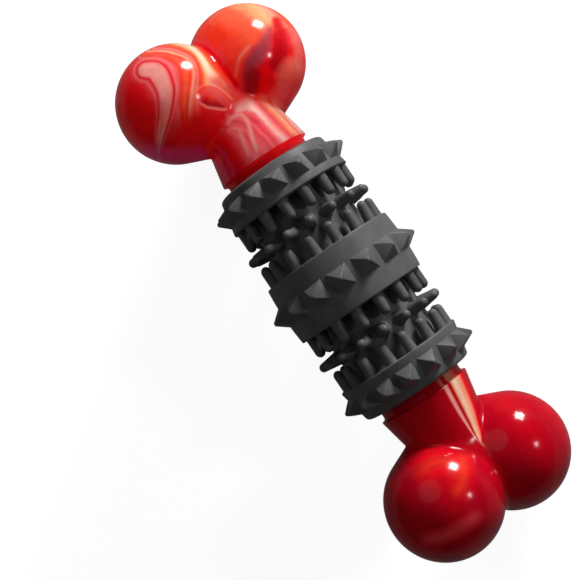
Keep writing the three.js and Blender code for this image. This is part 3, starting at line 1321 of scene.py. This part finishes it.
FAR_LOBE_STREAMS_AND_SHADE: tuple[MeltLayer, ...] = (
    FoldLayer(
        "far_base",
        (
            (0.0, DEEP_RED), (1.0, ROSE), (3.0, FLAME), (7.0, FLAME), (11.0, ORANGE), (15.0, ORANGE),
            (20.0, GOLD), (22.5, SALMON), (24.0, ORANGE), (25.5, FLAME), (30.0, RED),
        ),
        ((92.0, -1.0), (82.0, -5.0), (77.0, -6.0), (67.0, -6.0), (60.0, -7.0)),
        lee=0.0,
        sway=2.0,
    ),
    FoldLayer(
        "far_belly",
        (
            (0.0, FLAME, 0.0), (0.6, FLAME, 0.8), (2.0, ROSE, 0.9), (5.0, ROSE), (7.0, DEEP_RED),
            (9.0, RED), (13.0, RED), (16.0, DEEP_RED), (20.0, RED),
        ),
        (
            (77.0, -34.0), (76.0, -27.0), (75.5, -20.0), (75.5, -15.5), (74.5, -11.5), (72.0, -8.5),
            (70.0, -7.0),
        ),
        lee=-3.0,
    ),
    FoldLayer(
        "far_shade",
        ((0.0, PLUM, 0.95), (1.0, PLUM, 0.85), (2.0, PLUM, 0.5), (3.5, RED, 0.0)),
        ((67.0, -8.5), (69.5, -11.5), (72.0, -16.0), (73.5, -20.5), (76.5, -24.0), (80.0, -27.0)),
        fade=(3.0, 4.0),
        widths=(0.6, 0.9, 1.2, 1.2, 0.8, 0.5),
    ),
    FoldLayer(
        "far_wedge",
        ((0.0, GARNET), (1.6, GARNET, 0.9), (3.4, RED, 0.0)),
        ((67.0, -20.0), (70.0, -23.5), (74.0, -26.0), (79.0, -28.0)),
        widths=(1.2, 1.2, 1.1, 0.6),
    ),
    # Painted shade: a darker crimson patch on the far lobe next to the neck.
    FoldLayer(
        "far_dusk",
        ((0.0, CRIMSON, 0.9), (1.5, CRIMSON, 0.7), (3.5, DEEP_RED, 0.0)),
        ((65.5, -9.0), (67.5, -11.5), (68.5, -15.0)),
        fade=(0.0, 2.0),
    ),
    FoldLayer(
        "far_rim",
        ((0.0, SALMON, 0.4), (1.0, SALMON, 0.3), (2.5, ORANGE, 0.0)),
        ((77.0, -31.5), (72.0, -30.5), (67.0, -28.0), (63.0, -25.0)),
        fade=(3.0, 1.0),
    ),
    FoldLayer(
        "far_arch",
        ((0.0, SALMON, 0.9), (0.3, SALMON, 0.7), (0.9, ORANGE, 0.3), (2.0, ORANGE, 0.0)),
        ((70.0, -6.5), (72.0, -8.5), (74.5, -11.5), (75.5, -15.0), (76.0, -18.0)),
        fade=(1.0, 4.0),
    ),
    FoldLayer(
        "far_patch",
        ((0.0, SALMON, 0.6), (1.5, SALMON, 0.5), (4.0, SALMON, 0.0)),
        ((62.5, -20.0), (64.0, -24.0)),
    ),
    FoldLayer(
        "far_foot",
        ((0.0, PINK, 0.6), (1.5, PINK, 0.5), (3.2, ROSE, 0.0)),
        ((58.5, -13.0), (60.5, -17.5)),
    ),
)
NEAR_LOBE_STREAMS_AND_SHADE: tuple[MeltLayer, ...] = (
    StreamLayer(
        "near_stream",
        (
            (0.0, DEEP_RED), (0.45, RED), (0.8, RED), (1.05, ROSE), (1.95, ROSE), (2.25, ROSE),
            (2.85, PINK), (3.1, PINK), (3.3, FLAME), (3.6, ORANGE), (3.85, FLAME), (3.97, SALMON),
            (4.07, SALMON), (4.2, ORANGE), (4.35, PINK), (4.5, FLAME), (4.75, ORANGE), (4.95, GOLD),
            (5.25, CREAM), (5.7, CREAM), (5.95, GOLD), (6.15, ORANGE), (6.45, FLAME), (6.8, DEEP_RED),
            (7.2, DEEP_RED, 0.8), (8.0, ROSE, 0.0),
        ),
        (62.0, 67.0, 72.0, 77.0, 82.0, 86.0, 88.0, 92.0),
        (
            (34.0, 34.0, 34.0, 34.0, 34.0, 34.0, 34.0, 34.0),
            (29.0, 23.0, 18.0, 15.5, 15.5, 17.0, 16.0, 14.5),
            (28.5, 21.5, 14.5, 10.5, 9.0, 11.0, 14.5, 14.5),
            (18.0, 15.0, 12.5, 9.0, 7.5, 9.0, 11.0, 14.5),
            (15.0, 11.5, 7.0, 3.0, 2.0, 4.5, 6.0, 11.0),
            (3.5, 2.5, 1.0, -0.5, -1.0, 0.0, 1.0, 4.0),
            (-5.0, -4.0, -3.0, -2.5, -2.5, -2.0, -1.0, 0.0),
            (-7.0, -6.0, -6.0, -6.0, -5.0, -3.5, -2.5, -1.0),
            (-9.0, -8.0, -8.0, -8.0, -7.0, -5.5, -4.5, -3.0),
        ),
        (63.0, 71.0),
        sway=0.12,
    ),
    FoldLayer(
        "near_head",
        (
            (0.0, SHELL), (1.8, SHELL), (2.6, PINK), (3.1, DEEP_RED, 0.9), (3.6, ROSE, 0.9),
            (4.4, PINK, 0.7), (5.2, ROSE, 0.5), (7.0, RED, 0.0),
        ),
        ((86.5, 14.5), (84.5, 12.5), (82.0, 12.0), (77.0, 13.0), (72.0, 16.5), (67.0, 22.5), (62.5, 28.0)),
        fade=(0.0, 3.0),
        widths=(0.9, 1.0, 1.0, 0.85, 0.6, 0.35, 0.1),
        sway=0.6,
    ),
    FoldLayer(
        "near_pool",
        ((0.0, RED, 0.9), (3.0, RED, 0.6), (7.0, RED, 0.0)),
        ((62.0, 15.0), (60.5, 7.0)),
    ),
    FoldLayer(
        "near_under",
        ((0.0, MAUVE, 0.85), (1.5, MAUVE, 0.6), (4.0, RED, 0.0)),
        ((70.0, 30.5), (66.5, 28.5), (62.5, 25.0), (59.5, 21.0), (57.0, 16.5), (56.0, 13.0)),
        fade=(6.0, 2.0),
    ),
    FoldLayer(
        "valley_end",
        ((0.0, FLAME, 0.9), (1.2, ROSE, 0.8), (3.0, RED, 0.0)),
        ((60.0, -6.0), (64.0, -4.0), (68.0, -2.5), (72.0, -1.5), (75.5, -1.5)),
        fade=(0.0, 4.0),
    ),
    FoldLayer(
        "near_tongue",
        (
            (0.0, SALMON, 0.0), (0.2, SALMON, 0.7), (0.4, SALMON, 0.6), (0.9, FLAME, 0.8), (2.5, ROSE, 0.9),
            (4.5, DEEP_RED, 0.8), (7.0, DEEP_RED, 0.0),
        ),
        ((65.0, -3.0), (68.0, -2.0), (71.0, -0.5), (72.5, 2.0), (72.5, 5.0), (71.0, 9.0)),
        lee=-3.0,
        fade=(1.0, 5.0),
    ),
    # Pale melt line round the tongue, with painted shade inside it: dark crimson where a fold would lie in
    # shadow.
    FoldLayer(
        "tongue_fold",
        (
            (0.0, SHELL, 0.0), (0.3, SHELL, 0.75), (0.8, PINK, 0.7), (1.3, CRIMSON, 0.95),
            (2.4, CRIMSON, 0.8), (4.0, DEEP_RED, 0.0),
        ),
        ((69.0, 7.5), (66.0, 6.0), (63.5, 2.5), (63.0, 0.5), (64.0, -0.5)),
        lee=-3.0,
        fade=(2.0, 2.0),
    ),
    FoldLayer(
        "leaf_line",
        ((0.0, SALMON, 0.6), (0.3, PINK, 0.5), (1.0, RED, 0.0)),
        ((76.0, 16.0), (72.0, 18.0), (69.0, 21.0), (66.0, 25.0)),
        fade=(4.0, 1.0),
    ),
)
NECK_STREAMS: tuple[MeltLayer, ...] = (
    StreakLayer(
        "streaks",
        (
            (0.0, WINE), (20.0, RED), (27.0, WINE), (33.0, DEEP_RED), (40.0, WINE), (46.0, DEEP_RED),
            (54.0, RED), (66.0, ROSE), (72.0, BLUSH), (78.0, ROSE), (83.0, BLUSH), (91.0, ROSE),
            (96.0, BLUSH), (99.0, ROSE), (102.0, ROSE), (107.0, BLUSH), (111.0, SHELL), (114.0, SALMON),
            (118.0, BLUSH), (121.0, ROSE), (126.0, ORANGE), (134.0, SALMON), (140.0, ORANGE),
            (150.0, SHELL), (160.0, SALMON), (180.0, ROSE),
        ),
        start=-10.0,
        swing=25.0,
        stations=(45.0, 61.0),
        sway=10.0,
    ),
    FoldLayer(
        "outer_hook",
        ((0.0, SHELL, 0.8), (0.4, SHELL, 0.6), (1.2, PINK, 0.0)),
        ((46.0, 0.5), (50.5, -0.5), (55.0, -2.0), (58.0, -2.5), (60.0, -1.5), (60.5, 1.5), (59.0, 4.0)),
        fade=(3.0, 2.0),
    ),
    FoldLayer(
        "inner_hook",
        ((0.0, SHELL, 0.5), (0.4, SHELL, 0.4), (1.2, PINK, 0.0)),
        ((46.5, 3.5), (50.5, 2.5), (54.5, 1.5), (56.5, 1.5), (58.0, 3.5), (57.0, 5.0)),
        fade=(3.0, 2.0),
    ),
)
DEEP_RED_STREAMS_AND_SHEEN: tuple[MeltLayer, ...] = (
    FoldLayer(
        "valley",
        (
            (0.0, GARNET), (8.0, CRIMSON), (16.0, GARNET), (22.0, CRIMSON), (28.0, GARNET), (36.0, CRIMSON),
            (52.0, CRIMSON),
        ),
        ((96.0, 1.0), (80.0, 4.0), (62.0, 4.0)),
        sway=4.0,
    ),
    # Painted sheen: a lighter rose band along the lower edge of the near lobe, standing in for light
    # reflected up onto it.
    FoldLayer(
        "low_sheen",
        ((0.0, ROSE, 0.9), (1.0, ROSE, 0.7), (3.5, RED, 0.0)),
        ((77.5, -26.5), (80.0, -23.5), (81.5, -18.5), (82.0, -13.5), (82.0, -8.0), (81.0, -4.5)),
        fade=(5.0, 5.0),
    ),
    FoldLayer(
        "near_glow",
        ((0.0, FLAME, 0.5), (1.0, FLAME, 0.3), (2.2, RED, 0.5), (6.0, RED, 0.0)),
        ((62.5, -19.0), (62.0, -9.0), (65.5, -5.0), (70.0, -7.5)),
        fade=(9.0, 4.0),
    ),
    FoldLayer(
        "near_arc",
        ((0.0, FLAME, 0.6), (1.0, FLAME, 0.4), (2.5, RED, 0.3), (5.0, RED, 0.0)),
        ((73.0, -11.0), (71.5, -6.0), (68.5, -2.5), (64.5, -0.5)),
        fade=(4.0, 2.0),
    ),
    StreakLayer(
        "streaks",
        (
            (0.0, GARNET), (101.0, GARNET), (103.0, SHELL), (106.0, SHELL), (108.5, GARNET),
            (112.0, GARNET), (114.5, GOLD), (117.0, CREAM), (121.0, CREAM), (124.0, GOLD), (129.0, SALMON),
            (134.0, RED), (140.0, GARNET), (180.0, CRIMSON),
        ),
        start=190.0,
        gather=0.9,
        land=0.5,
        sway=6.0,
    ),
)

SWIRLED_NYLON = NylonFinish(
    "swirled_bone_end",
    "swirled_nylon",
    FAR_LOBE_STREAMS_AND_SHADE + NEAR_LOBE_STREAMS_AND_SHADE + NECK_STREAMS,
    tilt=-21.6,
    wander=1.2,
    tones=(0.92, 1.06),
)
DEEP_RED_NYLON = NylonFinish(
    "deep_red_bone_end",
    "deep_red_nylon",
    DEEP_RED_STREAMS_AND_SHEEN,
    tilt=21.6,
    wander=0.5,
    tones=(0.92, 1.05),
    glow=0.35,
)
BLACK_RUBBER = RubberFinish("black_rubber", "black_rubber")


def main() -> None:
    """Build the bone and its studio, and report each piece."""
    logging.basicConfig(level=logging.INFO, format="%(name)s: %(message)s")
    swirled_end = BoneEnd(EndKind.PLUG, SWIRLED_NYLON)
    deep_red_end = BoneEnd(EndKind.SOCKET, DEEP_RED_NYLON)
    for part in (swirled_end, deep_red_end, ChewSleeve(BLACK_RUBBER)):
        piece = part.build()
        log.info("%s: %d faces", piece.name, len(piece.data.polygons))
    Studio().build()


if __name__ == "__main__":
    main()
